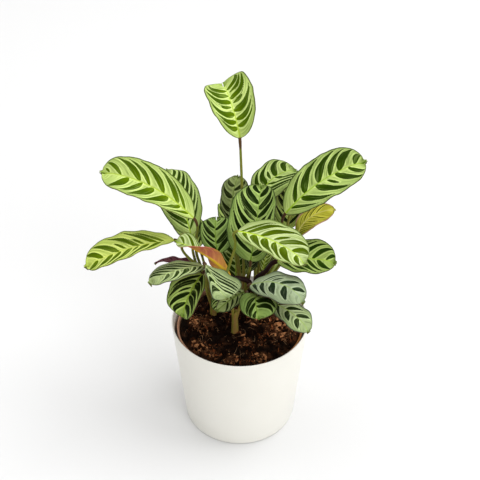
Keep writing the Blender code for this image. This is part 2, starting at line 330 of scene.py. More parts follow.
# %% Spin a profile
def lathe(name, profile, finish, sides=192):
    """Spin (radius, height) points in millimetres about Z, closing on the axis at both ends."""
    turns = np.arange(sides) / sides * math.tau
    points = [(0, 0, profile[0][1])]
    for radius, height in profile[1:-1]:
        ring = [np.cos(turns) * radius, np.sin(turns) * radius, 0 * turns + height]
        points.extend(np.stack(ring, -1).tolist())
    points.append((0, 0, profile[-1][1]))
    faces = [face[::-1] for face in spun_faces(len(profile) - 2, sides)]
    return make_piece(name, points, faces, [finish], sharp=35)


def rounded(corner_radius, centre, start, end, steps=6):
    """Points on an arc from one angle to another, both in degrees, for a moulded edge."""
    turns = [math.radians(start + (end - start) * i / steps) for i in range(steps + 1)]
    radius, height = centre
    return [(radius + corner_radius * math.cos(t), height + corner_radius * math.sin(t)) for t in turns]


print("lathe ready")

# %% Finish of the cover pot
white_plastic = Finish("cover_pot_satin")
patchy = white_plastic.mottle(38, 2)
peel = white_plastic.mottle(0.7, 2)
shade = white_plastic.mix(patchy, (0.795, 0.782, 0.718), (0.83, 0.820, 0.766))
white_plastic.paint(base_color=shade, roughness=0.36 + 0.10 * white_plastic.mottle(9, 3))
white_plastic.bump(peel, 0.03)
print("cover pot finish nodes:", len(white_plastic.tree.nodes))

# %% Cover pot
COVER_HEIGHT = 122.7
COVER_RIM_RADIUS = 68.0
COVER_BASE_RADIUS = 57.3
COVER_WALL = 1.5
COVER_FLOOR = 2.5
COVER_CORNER = 3.0
CORNER_END = -9  # in degrees, where the corner runs into the leaning wall
INNER_CORNER = 5.5
FOOT_RECESS = 0.6
RECESS_EDGE = 3.4
lip_middle = COVER_RIM_RADIUS - COVER_WALL / 2
foot = COVER_BASE_RADIUS - COVER_CORNER
edge = foot - RECESS_EDGE
outer = [(0, FOOT_RECESS), (edge, FOOT_RECESS), (edge + 0.8, 0.05), (edge + 1.6, 0)]
outer += rounded(COVER_CORNER, (foot, COVER_CORNER), -90, CORNER_END)
lip = rounded(COVER_WALL / 2, (lip_middle, COVER_HEIGHT - COVER_WALL / 2), 0, 180, 8)
inner = [(COVER_BASE_RADIUS - COVER_WALL - 0.3, COVER_FLOOR + INNER_CORNER)]
inner += [(foot - COVER_WALL, COVER_FLOOR), (0, COVER_FLOOR)]
cover = lathe("cover_pot_satin", outer + lip + inner, white_plastic)
stands_for(cover, "cover_pot", "cover_pot")
print("cover pot faces:", len(cover.data.polygons))

# %% [markdown]
# The nursery pot is what the plant was sold in: thin brown plastic with a plain rolled rim. Only the rim
# shows, between the soil and the white wall. On the right an orange glow is painted in, as light shining
# through the thin plastic, and on the left it turns a paler pinkish tan, so both tones depend on how far to
# the side a point lies.

# %% Finish of the nursery pot
brown_plastic = Finish("nursery_pot_brown")
scuffs = brown_plastic.mottle(6, 5, 0.7)
sideways, _, _ = brown_plastic.place_parts()
brown = brown_plastic.coats(
    (0.10, 0.038, 0.018),
    (scuffs, (0.21, 0.085, 0.036)),
    # Painted light: an orange glow on the right, as if light shone through the thin plastic.
    (sideways.between(0.020, 0.058) * 0.85, (0.46, 0.19, 0.035)),
    # A paler pinkish tan towards the left.
    (sideways.between(-0.030, -0.058) * 0.8, (0.56, 0.30, 0.18)),
)
brown_plastic.paint(base_color=brown, roughness=0.45 + 0.2 * scuffs)
brown_plastic.bump(brown_plastic.mottle(1.2, 2), 0.05)
print("nursery pot finish nodes:", len(brown_plastic.tree.nodes))

# %% Nursery pot
NURSERY_RIM_RADIUS = 63.0
NURSERY_MOUTH_RADIUS = 61.3
NURSERY_BASE_RADIUS = 45.0
NURSERY_BOTTOM = 2.8
NURSERY_TOP = 115.0
NURSERY_BAND = 4.5
NURSERY_WALL = 1.0
NURSERY_STEP = 0.8
NURSERY_CORNER = 1.0
rim_middle = (NURSERY_RIM_RADIUS + NURSERY_MOUTH_RADIUS) / 2
rim_round = (NURSERY_RIM_RADIUS - NURSERY_MOUTH_RADIUS) / 2
band = NURSERY_TOP - NURSERY_BAND
wall_in = NURSERY_MOUTH_RADIUS - NURSERY_STEP
profile = [(0, NURSERY_BOTTOM), (NURSERY_BASE_RADIUS - NURSERY_CORNER, NURSERY_BOTTOM)]
profile += [(NURSERY_BASE_RADIUS, NURSERY_BOTTOM + NURSERY_CORNER)]
profile += [(wall_in + NURSERY_WALL, band - NURSERY_CORNER), (NURSERY_RIM_RADIUS, band)]
profile += rounded(rim_round, (rim_middle, NURSERY_TOP - rim_round), 0, 180)
profile += [(wall_in, band), (NURSERY_BASE_RADIUS - NURSERY_WALL, NURSERY_BOTTOM + NURSERY_WALL)]
profile += [(0, NURSERY_BOTTOM + NURSERY_WALL)]
nursery = lathe("nursery_pot_brown", profile, brown_plastic, 144)
stands_for(nursery, "nursery_pot", "nursery_pot")
print("nursery pot faces:", len(nursery.data.polygons))

# %% [markdown]
# ## Soil
# Potting mix is black peat with chips of red-brown bark and a few root hairs on top. The bark lies in loose
# patches, so we name where they are, how far they reach and how much rust they show, in hundredths. The
# first patch, on the left, is twice as strong: part of its brightness is painted light, where the leaves
# above shade the soil.
# A displaced disc gives the crumbs, then chips and hairs are scattered over it as real meshes, because
# their shadows are what makes soil look loose.

# %% Lumpy ground
SOIL_LEVEL = 112.0
SOIL_EDGE = 59.4
SOIL_LUMP = 2.6
SOIL_LUMP_SIZE = 11.0
CRUMB_HEIGHT = 0.75
CRUMB_SIZE = 1.9
RIGHT_DIP = 2.2  # how far the soil has sunk at the right rim
RIM_CALM = 8  # no lumps this close to the rim
RustAndLightPatch = namedtuple("RustAndLightPatch", "right back reach strength")
RUST_AND_LIGHT_PATCHES = (
    # The first patch is twice as strong: rust, with painted light on soil that the leaves shade.
    (-38, 4, 15, 200), (-40, -31, 13, 120), (17, 10, 12, 120), (44, -2, 22, 170), (8, -23, 8, 130),
    (-8, -46, 9, 90), (-10, 36, 14, 100), (30, 38, 12, 100), (22, -44, 10, 130), (-25, -42, 8, 110),
)
chance = np.random.default_rng(11)


def soil_height(x, y):
    """Height of the soil in millimetres, from broad lumps down to crumbs."""
    calm = min(1.0, max(0.0, (SOIL_EDGE - math.hypot(x, y)) / RIM_CALM))
    lump = noise.noise(Vector((x, y, 20)) / SOIL_LUMP_SIZE)
    fine = noise.noise(Vector((x, y, 70)) / (0.4 * SOIL_LUMP_SIZE))
    crumbs = noise.noise(Vector((x, y, 5)) / CRUMB_SIZE) + 0.6 * noise.noise(Vector((x, y, 9)) / 0.9)
    sunk = RIGHT_DIP * (1 - calm) * min(1.0, max(0.0, x / 30 + 0.5))
    lumps = (SOIL_LUMP * lump + 0.5 * SOIL_LUMP * fine) * calm
    return SOIL_LEVEL - sunk + lumps + CRUMB_HEIGHT * crumbs


def bark_rust_and_light(x, y):
    """From 0 in black peat to 1 or more in rust-red bark; the first patch's extra is painted light."""
    most = 0.0
    for patch in map(RustAndLightPatch._make, RUST_AND_LIGHT_PATCHES):
        inside = 1.5 - 1.5 * math.hypot(x - patch.right, y - patch.back) / patch.reach
        most = max(most, min(inside, 1.0) * patch.strength / 100)
    return max(0.0, most + 0.1 + 0.8 * noise.noise(Vector((x, y, 40)) / 6))


print("soil at the middle:", round(soil_height(0, 0), 1), "mm up")

# %% Soil finish
peat = Finish("soil_crumbs", roughness=0.95, specular_ior_level=0.01)
clods = peat.mottle(3.2, 6, 0.7)
# Where the soil turns rust-red, raised in the first patch as painted light.
rusty, _, _ = peat.attribute("rusty")
dark = peat.mix(clods, (0.002, 0.0014, 0.001), (0.016, 0.010, 0.0075))
peat.paint(base_color=peat.mix(rusty * 0.8 * clods, dark, (0.160, 0.060, 0.025)))
peat.bump(peat.mottle(0.8, 4, 0.7), 0.5)
print("peat finish nodes:", len(peat.tree.nodes))

# %% Soil disc
SOIL_RINGS = 78
SOIL_SPOKES = 260
SOIL_FLOOR = 4.1
SOIL_FLOOR_RADIUS = 43.2
radii = [SOIL_EDGE * i / SOIL_RINGS for i in range(1, SOIL_RINGS + 1)]
turns = np.arange(SOIL_SPOKES) / SOIL_SPOKES * math.tau
points = [(0, 0, soil_height(0, 0))]
for radius in radii:
    for turn in turns:
        x, y = radius * math.cos(turn), radius * math.sin(turn)
        points.append((x, y, soil_height(x, y)))
for turn in turns:
    points.append((SOIL_FLOOR_RADIUS * math.cos(turn), SOIL_FLOOR_RADIUS * math.sin(turn), SOIL_FLOOR))
points.append((0, 0, SOIL_FLOOR))
faces = spun_faces(SOIL_RINGS + 1, SOIL_SPOKES)
numbers = {"rusty": [(bark_rust_and_light(x, y), 0, 0) for x, y, _ in points]}
soil = make_piece("soil_crumbs", points, faces, [peat], numbers, sharp=180)
stands_for(soil, "potting_soil", "soil")
print("soil faces:", len(faces))

# %% [markdown]
# Bark chips are torn, flattish blocks. Each one starts as a small box, gets its corners jogged and is turned
# every way, and it is larger in a patch of rust-red bark. It carries two numbers for its finish: one picks
# its colour, from black through rust to dry tan, and the other leaves about two chips in five in the dark.
# In the first patch the chips come out paler: painted light, where the leaves shade the soil.

# %% Bark chips
CHIPS = 3800
CHIP_MARGIN = 2.5  # kept free along the rim
CHIP_LEAST = 0.9
CHIP_RANGE = 2.4
CHIP_RUSTY_RANGE = 1.6
CHIP_WIDTHS = (0.16, 0.45)  # this and what follows as shares of the chip's length
CHIP_HEIGHTS = (0.12, 0.35)
CHIP_JOG = 0.12
CHIP_LIFT = 0.18
BOX = np.array([(x, y, z) for x in (-1, 1) for y in (-1, 1) for z in (-1, 1)], float) / 2
BOX_FACES = ((0, 1, 3, 2), (4, 6, 7, 5), (0, 4, 5, 1), (2, 3, 7, 6), (0, 2, 6, 4), (1, 5, 7, 3))


def scatter(margin):
    """A random place on the soil, this far from the rim at least."""
    reach = (SOIL_EDGE - margin) * math.sqrt(chance.random())
    turn = chance.random() * math.tau
    return reach * math.cos(turn), reach * math.sin(turn)


def random_turn():
    """A random rotation, from a random quaternion."""
    return np.array(Quaternion(chance.normal(size=4)).normalized().to_matrix())


chip_parts, chip_tints = [], []
for _ in range(CHIPS):
    x, y = scatter(CHIP_MARGIN)
    size = CHIP_LEAST + (CHIP_RANGE + CHIP_RUSTY_RANGE * bark_rust_and_light(x, y)) * chance.random() ** 2.6
    block = BOX * (size, size * chance.uniform(*CHIP_WIDTHS), size * chance.uniform(*CHIP_HEIGHTS))
    block = (block + chance.normal(scale=CHIP_JOG * size, size=(8, 3))) @ random_turn().T
    # The first patch raises the tint as well: paler chips as painted light.
    tint = min(1.0, chance.random() ** 1.2 * (0.30 + 1.5 * bark_rust_and_light(x, y)))
    chip_parts.append((block + (x, y, soil_height(x, y) + CHIP_LIFT * size), BOX_FACES))
    chip_tints.append(np.tile((tint, chance.random(), 0), (8, 1)))
print("chips cut:", len(chip_parts))

# %% Bark finish
bark = Finish("soil_bark", roughness=0.9, specular_ior_level=0.02)
tint, own, _ = bark.attribute("tint")
streaks = bark.mottle(0.7, 4, 0.7)
torn = bark.coats(
    (0.003, 0.0015, 0.001),
    (tint.between(0.28, 0.66), (0.33, 0.100, 0.034)),
    (tint.between(0.62, 1.0), (0.74, 0.34, 0.145)),
    (own.between(0.55, 0.25) * 0.85, (0.012, 0.005, 0.003)),
    (streaks.between(0.40, 0.62) * 0.75, (0.02, 0.008, 0.004)),
)
bark.paint(base_color=torn)
bark.bump(streaks, 0.25)
numbers = {"tint": np.vstack(chip_tints)}
chips = make_piece("soil_bark", *joined(chip_parts), [bark], numbers, sharp=20)
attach(chips, "root")
print("bark finish nodes:", len(bark.tree.nodes))

# %% [markdown]
# ## Tubes
# Root hairs, leaf stalks and shoots are all tubes along a line. A tube needs a frame that doesn't spin as it
# goes, so each ring's sideways direction is carried on from the ring before and squared up again.


# %% Tube along a path
def tube(path, radii, sides):
    """Points and faces of a closed round tube in millimetres."""
    path = np.asarray(path, float)
    heading = np.gradient(path, axis=0)
    heading /= np.linalg.norm(heading, axis=1)[:, None]
    side = np.cross(heading[0], (0.3, 0.9, 0.2))
    turns = np.arange(sides) / sides * math.tau
    rings = []
    for place, ahead, radius in zip(path, heading, radii):
        side = side - ahead * (side @ ahead)
        side /= np.linalg.norm(side)
        over = np.cross(ahead, side)
        rings.append(place + radius * (np.cos(turns)[:, None] * side + np.sin(turns)[:, None] * over))
    return np.vstack(rings), capped_faces(len(path), sides)


print("tubes ready")

# %% [markdown]
# A root hair is a thin brown thread that wanders over the soil and arches a little. Where it comes near the
# rim it is drawn back in.

# %% Root hairs
HAIRS = 120
HAIR_MARGIN = 5
HAIR_RIM = 3  # this close to the rim a hair turns back
HAIR_LEAST = 2.5
HAIR_RANGE = 9
HAIR_BEND = 0.2
HAIR_LIFTS = (0.5, 2.6)
HAIR_RADII = (0.11, 0.24)
HAIR_POINTS = 8
HAIR_SIDES = 5
hair_parts = []
for _ in range(HAIRS):
    x, y = scatter(HAIR_MARGIN)
    ahead = chance.random() * math.tau
    bend = chance.normal(scale=HAIR_BEND)
    length = HAIR_LEAST + HAIR_RANGE * chance.random() ** 2
    step = length / (HAIR_POINTS - 1)
    lift = chance.uniform(*HAIR_LIFTS)
    path = []
    for i in range(HAIR_POINTS):
        share = i / (HAIR_POINTS - 1)
        arch = 0.4 + lift * math.sin(math.pi * min(share * 1.2, 1))
        path.append((x, y, soil_height(x, y) + arch))
        if math.hypot(x, y) < SOIL_EDGE - HAIR_RIM:
            x += step * math.cos(ahead)
            y += step * math.sin(ahead)
        else:
            x, y = x * 0.985, y * 0.985
        ahead += bend
    thick = chance.uniform(*HAIR_RADII)
    hair_parts.append(tube(path, np.linspace(thick, 0.4 * thick, HAIR_POINTS), HAIR_SIDES))
straw = Finish("soil_fibres", roughness=0.75, specular_ior_level=0.1)
straw.paint(base_color=straw.mix(straw.mottle(5, 2), (0.10, 0.040, 0.018), (0.42, 0.25, 0.13)))
hairs = make_piece("soil_fibres", *joined(hair_parts), [straw])
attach(hairs, "root")
print("root hairs:", len(hair_parts))

# %% [markdown]
# ## The leaves' shapes
# Every leaf is one oblong blade on a slender stalk. The table repeats the one behind the solids: where the
# knee is, which way the blade leaves it, how it arches, rolls, cups and curls, and what its stalk passes.

# %% Leaf table
SHOOTS = {
    "stem_a": (-5, -8),
    "stem_b": (-27, 19),
    "stem_c": (3, 28),
    "stem_d": (14, 31),
    "stem_e": (24, 15),
}
Leaf = namedtuple(
    "Leaf",
    "name shoot knee heading rise length width tone arch roll twist cup curl belly wave via",
    defaults=("mid", 30, 0, 0, 20, 20, 0.56, 0.6, ()),
)
LEAVES = (
    Leaf("leaf_01", "stem_c", (0, 30, 313), 110, 34, 63, 47, "lime", arch=84, roll=-15, cup=30, curl=8,
         belly=0.68, via=((3, 30, 228), (2, 30, 260))),
    Leaf("leaf_02", "stem_b", (-42, 0, 246), 164, 21, 100, 41, "lime", arch=52, roll=-25, twist=-24,
         cup=28, curl=14, via=((-38, 18, 174), (-42, 15, 195), (-41, 10, 216))),
    Leaf("leaf_03", "stem_b", (-46, 15, 214), 118, 40, 73, 42, "mid", arch=50, roll=-6, cup=10, curl=30,
         via=((-45, 18, 190),)),
    Leaf("leaf_04", "stem_b", (-60, -5, 225), -170, -13, 90, 40, "lime", arch=40, twist=-20,
         via=((-38, 14, 177), (-48, 8, 192), (-54, 3, 206))),
    Leaf("leaf_05", "stem_e", (-9, -19, 193), 173, 36, 64, 24, "flushed", arch=36, roll=60, twist=-190,
         cup=40, curl=10, belly=0.8, via=((12, 14, 150), (8, 8, 164), (-2, -4, 178))),
    Leaf("leaf_06", "stem_a", (-21, 5, 200), 93, 32, 40, 34, "deep", arch=50, belly=0.5,
         via=((-13, 0, 165),)),
    Leaf("leaf_07", "stem_c", (-8, 42, 209), 76, 56, 49, 28, "olive", arch=40, via=((-4, 38, 170),)),
    Leaf("leaf_08", "stem_c", (10, -8, 202), 76, 56, 80, 48, "deep", arch=80, roll=-6, cup=26, curl=12,
         belly=0.45, via=((6, 20, 150), (8, 11, 170))),
    Leaf("leaf_09", "stem_a", (-2, -22, 248), -25, -12, 71, 40, "lime", arch=42, roll=12, cup=26, curl=14,
         via=((-9, -12, 165), (-13, -21, 193), (-9, -23, 212), (-4, -22, 234))),
    Leaf("leaf_10", "stem_d", (15, 36, 235), 37, 23, 57, 43, "mid", arch=60, roll=5, cup=28, curl=16,
         via=((15, 33, 190),)),
    Leaf("leaf_11", "stem_d", (47, 34, 208), 86, 46, 44, 32, "olive", arch=50, via=((34, 34, 165),)),
    Leaf("leaf_12", "stem_d", (42, 10, 244), 16, 30, 91, 47, "mid", arch=36, roll=34, cup=34, curl=12,
         via=((33, 24, 188), (40, 14, 221))),
    Leaf("leaf_13", "stem_d", (51, 31, 240), 22, 39, 57, 26, "olive", roll=12, via=((40, 25, 190),)),
    Leaf("leaf_14", "stem_d", (54, 15, 212), 2, 42, 52, 19, "amber", arch=80, roll=44, cup=10, curl=10,
         via=((44, 26, 178),)),
    Leaf("leaf_15", "stem_e", (35, -4, 199), -8, 5, 57, 40, "mid", roll=20, cup=24, curl=16,
         via=((16, 8, 166), (25, 2, 182))),
    Leaf("leaf_16", "stem_e", (10, -18, 182), -31, 4, 60, 39, "cool", arch=50, roll=4,
         via=((14, 2, 158),)),
    Leaf("leaf_17", "stem_e", (30, -27, 168), -38, -16, 47, 31, "cool", via=((27, -4, 146),)),
    Leaf("leaf_18", "stem_e", (16, -26, 178), -87, -8, 34, 37, "mid", arch=70, via=((20, -6, 150),)),
    Leaf("leaf_19", "stem_b", (-32, -24, 212), -53, -24, 41, 36, "cool", roll=-22, twist=46, cup=18, curl=10,
         belly=0.84, via=((-27, -2, 165), (-26, -16, 190))),
    Leaf("leaf_20", "stem_a", (5, -18, 173), -136, -3, 37, 17, "deep", roll=-50, cup=30,
         via=((0, -8, 145),)),
    Leaf("leaf_21", "stem_b", (-35, -17, 195), -133, -52, 48, 42, "olive", arch=46, cup=36, belly=0.46,
         via=((-33, 4, 160),)),
    Leaf("leaf_22", "stem_b", (-19, 8, 152), -96, -16, 25, 16, "deep", via=((-23, 15, 138),)),
    Leaf("leaf_23", "stem_b", (-33, -12, 200), -157, -2, 58, 38, "cool", arch=50, roll=14, cup=8,
         via=((-34, 4, 170),)),
    Leaf("leaf_24", "stem_b", (-47, 14, 185), 172, -10, 38, 14, "purple", roll=20, via=((-38, 19, 160),)),
    Leaf("leaf_25", "stem_e", (22, 14, 172), 56, 64, 28, 17, "mid", arch=20, roll=-10,
         via=((22, 15, 145),)),
    Leaf("leaf_26", "stem_c", (10, 17, 169), 66, 62, 25, 15, "mid", arch=20, via=((7, 22, 145),)),
    Leaf("leaf_27", "stem_d", (34, 46, 200), 62, 16, 56, 36, "mid", arch=50, via=((22, 46, 165),)),
    Leaf("leaf_28", "stem_c", (-4, 46, 186), 96, 12, 56, 32, "mid", arch=50, via=((0, 38, 150),)),
    Leaf("leaf_29", "stem_b", (-40, 36, 184), 118, 10, 52, 32, "olive", arch=50, via=((-32, 28, 150),)),
    Leaf("leaf_30", "stem_c", (-4, 42, 137), 92, 62, 46, 36, "mid", arch=30, via=((0, 34, 125),)),
    Leaf("leaf_31", "stem_d", (24, 44, 140), 80, 62, 44, 34, "mid", arch=30, via=((19, 37, 127),)),
)
print("leaves:", len(LEAVES))

# %% [markdown]
# The outline is fullest at the belly and closes in a rounded end with a small point. It is given as a share
# of the widest half, so that one curve serves every leaf.


# %% Outline and frame of a blade
TIP_START = 0.965
TIP_POINT = 0.07
BASE_CURVE = (2.1, 1.5)  # power and root of the outline from the base to the belly
NOSE_CURVE = (3.0, 2.1)  # and from the belly to the tip


def half_width(share, belly):
    """Half the blade's width at a share of its length, as a share of its widest."""
    along = np.clip(np.asarray(share, float) / TIP_START, 0, 1)
    from_belly = np.where(along < belly, (belly - along) / belly, (along - belly) / (1 - belly))
    power, root = (np.where(along < belly, *pair) for pair in zip(BASE_CURVE, NOSE_CURVE))
    body = np.clip(1 - from_belly**power, 0, None) ** (1 / root)
    tip = TIP_POINT * np.clip((1 - np.asarray(share, float)) / (1 - TIP_START), 0, 1)
    return np.maximum(body, tip)


def blade_frame(leaf, share):
    """Unit vectors at shares of the length: along the midrib, to the left side and up from the blade."""
    share = np.asarray(share, float)
    heading = np.radians(leaf.heading) + 0 * share
    pitch = np.radians(leaf.rise + leaf.arch * (0.5 - share))
    roll = np.radians(leaf.roll + leaf.twist * (share - 0.5))[:, None]
    flat = np.cos(pitch)
    along = np.stack([flat * np.cos(heading), flat * np.sin(heading), np.sin(pitch)], -1)
    left = np.stack([-np.sin(heading), np.cos(heading), 0 * heading], -1)
    up = np.cross(along, left)
    return along, left * np.cos(roll) + up * np.sin(roll), up * np.cos(roll) - left * np.sin(roll)


print("half width at mid length:", round(float(half_width(0.5, 0.56)), 3))

# %% [markdown]
# The points of a blade are laid across its midrib. Cup folds both halves up along the midrib, curl bends
# them back down towards the edge, a slow wave runs along each edge and the nose droops a little.

# %% Points of a blade
WAVES = 2.6
WAVE_SHIFT = 2.2  # keeps the left edge out of step with the right one
NOSE_START = 0.84
NOSE_DROOP = 0.16
MIDRIB_SAMPLES = 121
BASE_HALF_WIDTH = 0.9
TIP_HALF_WIDTH = 0.12


def blade_half(leaf, stations):
    """Half width in millimetres, never thinner than the stalk at the base or a whisker at the tip."""
    least = np.where(np.asarray(stations) < 0.5, BASE_HALF_WIDTH, TIP_HALF_WIDTH)
    return np.maximum(leaf.width / 2 * half_width(stations, leaf.belly), least)


def blade_points(leaf, stations, across):
    """The blade's upper face in millimetres from its knee. across runs from -1 to 1 in each row."""
    fine = np.linspace(0, 1, MIDRIB_SAMPLES)
    along = blade_frame(leaf, fine)[0]
    steps = (along[1:] + along[:-1]) / 2 * leaf.length / (len(fine) - 1)
    path = np.vstack([[0, 0, 0], np.cumsum(steps, 0)])
    midrib = np.stack([np.interp(stations, fine, path[:, axis]) for axis in range(3)], -1)
    _, left, up = blade_frame(leaf, stations)
    s, v = stations[:, None], across
    u = np.abs(v)
    half = blade_half(leaf, s)
    cup, curl = math.radians(leaf.cup), math.radians(leaf.curl)
    out = (math.sin(cup) - np.sin(cup - curl * u)) / curl * half * np.sign(v)
    lift = (np.cos(cup - curl * u) - math.cos(cup)) / curl * half
    shape = half_width(s, leaf.belly)
    wave = leaf.wave * u**2 * np.sin(math.tau * WAVES * s + np.where(v > 0, WAVE_SHIFT, 0)) * shape
    into_nose = np.clip((s - NOSE_START) / (1 - NOSE_START), 0, 1)
    nose = -NOSE_DROOP * leaf.width * into_nose**2 * (1 - u)
    return midrib[:, None] + left[:, None] * out[..., None] + up[:, None] * (lift + wave + nose)[..., None]


print("highest knee:", max(leaf.knee[2] for leaf in LEAVES), "mm up")

# %% [markdown]
# ## The leaves' marks
# The fishbone marks are what we know this plant by: dark lens-shaped bars that follow the side veins, blunt
# near the midrib and drawn out to a point before the edge, with now and then a small one between two large.
# We write down where each bar starts, as a percentage of the blade's length, on its left and right side.
# A plain number is a large bar, m a middling one, s a short one, f a short fat one and t a long thin one.
# One half of the blade is often broader than the other, so lean says how far the midrib is off the middle,
# the sweeps how strongly each side's veins slant, and bold how thick its bars are, all in hundredths. Where
# the stripes run nearly along the leaf, the first one starts before the base, at a minus number.

# %% Where the bars are
Marks = namedtuple("Marks", "left right lean left_sweep right_sweep bold", defaults=(0, 70, 70, 100))
USUAL = Marks("8m 22 38 48s 60 76m 90s", "6m 18 34 50 60s 72 86m")
MARKS = {
    "leaf_01": Marks("15m 24m 35 46s 54 65m 75m", "18m 28m 41 52s 61 71t 78m", 5, -2, 10, 84),
    "leaf_02": Marks("8m 18m 32 47 58m 72", "12m 21 37 51m 61 79m 90s", -2, 32, 90, 116),
    "leaf_03": Marks("10t 18 34 50 66 82m", "8m 20m 32m 44m 56m 68m 80m", 0, 60, 110, 100),
    "leaf_04": Marks("16 29 38s 46 57m 67 84", "11m 19 30s 37 49s 59 77", 22, 40, 105, 108),
    "leaf_05": Marks("8 22 38 54 70 86m", "8 22 38 54 70 86m", 0, 60, 60),
    "leaf_06": Marks("12m 28t 42 65m", "6 27 60m 82s", 10, 55, 80, 112),
    "leaf_07": Marks("12m 27 54 76m", "14m 32 50 68", 12, 20, 70),
    "leaf_08": Marks("12m 28m 42m 51s 58 73 87m", "10 24 38 48s 57m 67 82", -15, 70, 60, 92),
    "leaf_09": Marks("3m 14 32 47s 57 76", "10m 24 39 52m 65 84m", 4, 105, 18, 112),
    "leaf_10": Marks("8m 22 39 50s 61 79m", "8m 22 40m 57", 18, 12, 150, 92),
    "leaf_11": Marks("15 30s 45 66", "12m 34 52 70m", 0, 70, 70),
    "leaf_12": Marks("16m 30 47 60m 71 87m", "9m 24 43 54s 66 80m", 6, 48, 62, 104),
    "leaf_13": Marks("8t 20m 36m 52m 68m 84s", "8t 20m 36m 52m 68m 84s", 0, 90, 90),
    "leaf_14": Marks("6t 20t 34t 48t 62t", "6t 22t 38t 54t", 10, 160, 160, 140),
    "leaf_15": Marks("6 20 38 60 82m", "8m 24 38 52m 69", 0, 90, 45, 92),
    "leaf_16": Marks("20t 34s 51f 73f", "6m 21m 39f 60f", 27, 85, 36, 104),
    "leaf_17": Marks("14m 34f 59f", "16m 40f 65f", 12, 75, 35, 112),
    "leaf_18": Marks("20m 43 62m", "30 52 76m", -12, 0, 120, 100),
    "leaf_19": Marks("-17m 5m 23m 41t 58m", "36m 57m 77m", -38, 230, -55, 104),
    "leaf_20": Marks("8m 26m 44m 62m", "10m 28m 46m 64s", 0, 90, 90, 140),
    "leaf_21": Marks("11 27 42m 54 74", "5m 19 33s 46 68", 0, -10, 80, 88),
    "leaf_23": Marks("8m 20m 35 50m 66m", "8 23 38 53 68", 22, 20, 170, 84),
}
print("leaves with marks of their own:", len(MARKS))

# %% [markdown]
# A side vein leaves the midrib at a slant and bends towards the tip. Every point of the blade is on one
# vein, and the vein's number is how far along the midrib it starts, in millimetres.

# %% Veins
VEIN_BEND = 0.85


def marks_of(leaf):
    return MARKS.get(leaf.name, USUAL)


def midrib_place(leaf, stations):
    """Where the midrib runs between the right edge at -1 and the left edge at 1."""
    return marks_of(leaf).lean / 100 * np.sin(np.pi * np.clip(stations, 0, 1)) ** 0.6


def vein_slope(leaf, from_rib):
    """How strongly the veins slant on the side where each point lies."""
    return np.where(from_rib > 0, marks_of(leaf).left_sweep, marks_of(leaf).right_sweep) / 100


def vein_start(leaf, stations, from_rib):
    """For each point, how far along the midrib its vein starts, in millimetres."""
    s, u = stations[:, None], np.abs(from_rib)
    fullness = np.where(s < leaf.belly, 1.0, half_width(s, leaf.belly))
    run = vein_slope(leaf, from_rib) * u + VEIN_BEND * u**4
    return s * leaf.length - leaf.width / 2 * fullness * run


half_way = np.array([0.5])
vein = vein_start(LEAVES[0], half_way, half_way)[0, 0]
print("top leaf, half way along and half way out: vein", round(float(vein), 1), "mm")

# %% [markdown]
# A bar is then simply a range of vein numbers that widens and narrows on its way out. We work out how deep
# each point lies inside a bar. That number changes smoothly, so the shader can cut a crisp edge from it.
# The fine dark line in the middle of a gap needs one more number: how far each vein is from that middle.

# %% Bars
NO_BAR = -3.0
LEAST_GAP = 0.45  # half the pale strip that always parts two bars
BAR_SWELL = 1.5
BAR_BLUNT = 0.42  # power of a bar's blunt start
BAR_POINT = 3.2  # power of its pointed end
BarKind = namedtuple("BarKind", "start end half")  # along the vein, and half the bar's thickness
BAR_KINDS = {
    "": BarKind(0.0, 0.98, 0.102),
    "m": BarKind(0.0, 0.95, 0.072),
    "s": BarKind(0.06, 0.56, 0.042),
    "t": BarKind(0.05, 0.93, 0.046),
    "f": BarKind(0.0, 0.76, 0.092),
}


def bars_by_side(leaf):
    """For the left side, 1, and the right, -1: where on the midrib its bars start, and their kinds."""
    for side, words in ((1, marks_of(leaf).left.split()), (-1, marks_of(leaf).right.split())):
        starts = np.array([float(word.rstrip("mstf")) for word in words]) / 100 * leaf.length
        yield side, starts, [BAR_KINDS[word.lstrip("-0123456789")] for word in words]


def bar_depth(leaf, stations, from_rib):
    """How deep each point lies inside a bar, in millimetres, and less than 0 outside."""
    start = vein_start(leaf, stations, from_rib)
    u = np.abs(from_rib)
    squash = 1 / np.sqrt(1 + (vein_slope(leaf, from_rib) + 4 * VEIN_BEND * u**3) ** 2)
    thickest = marks_of(leaf).bold / 100 * leaf.width * BAR_SWELL
    depth = np.full(start.shape, NO_BAR)
    for side, middles, kinds in bars_by_side(leaf):
        for middle, kind in zip(middles, kinds):
            share = np.clip((u - kind.start) / (kind.end - kind.start), 0, 1)
            half = kind.half * thickest * share**BAR_BLUNT * (1 - share**BAR_POINT)
            inside = (half - np.abs(start - middle)) * squash
            elsewhere = (u < kind.start) | (u > kind.end) | (from_rib * side < 0)
            depth = np.maximum(depth, np.where(elsewhere, NO_BAR, inside))
    return depth


def gap_offset(leaf, stations, from_rib):
    """How far each point's vein is from the middle of its gap between two bars, in millimetres."""
    start = vein_start(leaf, stations, from_rib)
    offset = 0 * start
    for side, bars, _ in bars_by_side(leaf):
        apart = start[..., None] - (bars[1:] + bars[:-1]) / 2
        nearest = np.take_along_axis(apart, np.abs(apart).argmin(-1)[..., None], -1)[..., 0]
        offset = np.where(from_rib * side >= 0, nearest, offset)
    return offset


print("bar kinds:", len(BAR_KINDS))

# %% [markdown]
# ## The leaves' colours
# Young leaves are lime with grass-green bars. Older ones go mid green, grey-green or olive, with bars that
# are nearly black. Each look names the ground near the midrib and further out, the bars in the same way, the
# midrib, the edge and how rough the skin is. A leaf has the look of its tone, or one of its own where it
# hangs in deeper shade or catches more light. Undersides have a table of their own: wine-red on most,
# orange-red on the twisted leaf in front.

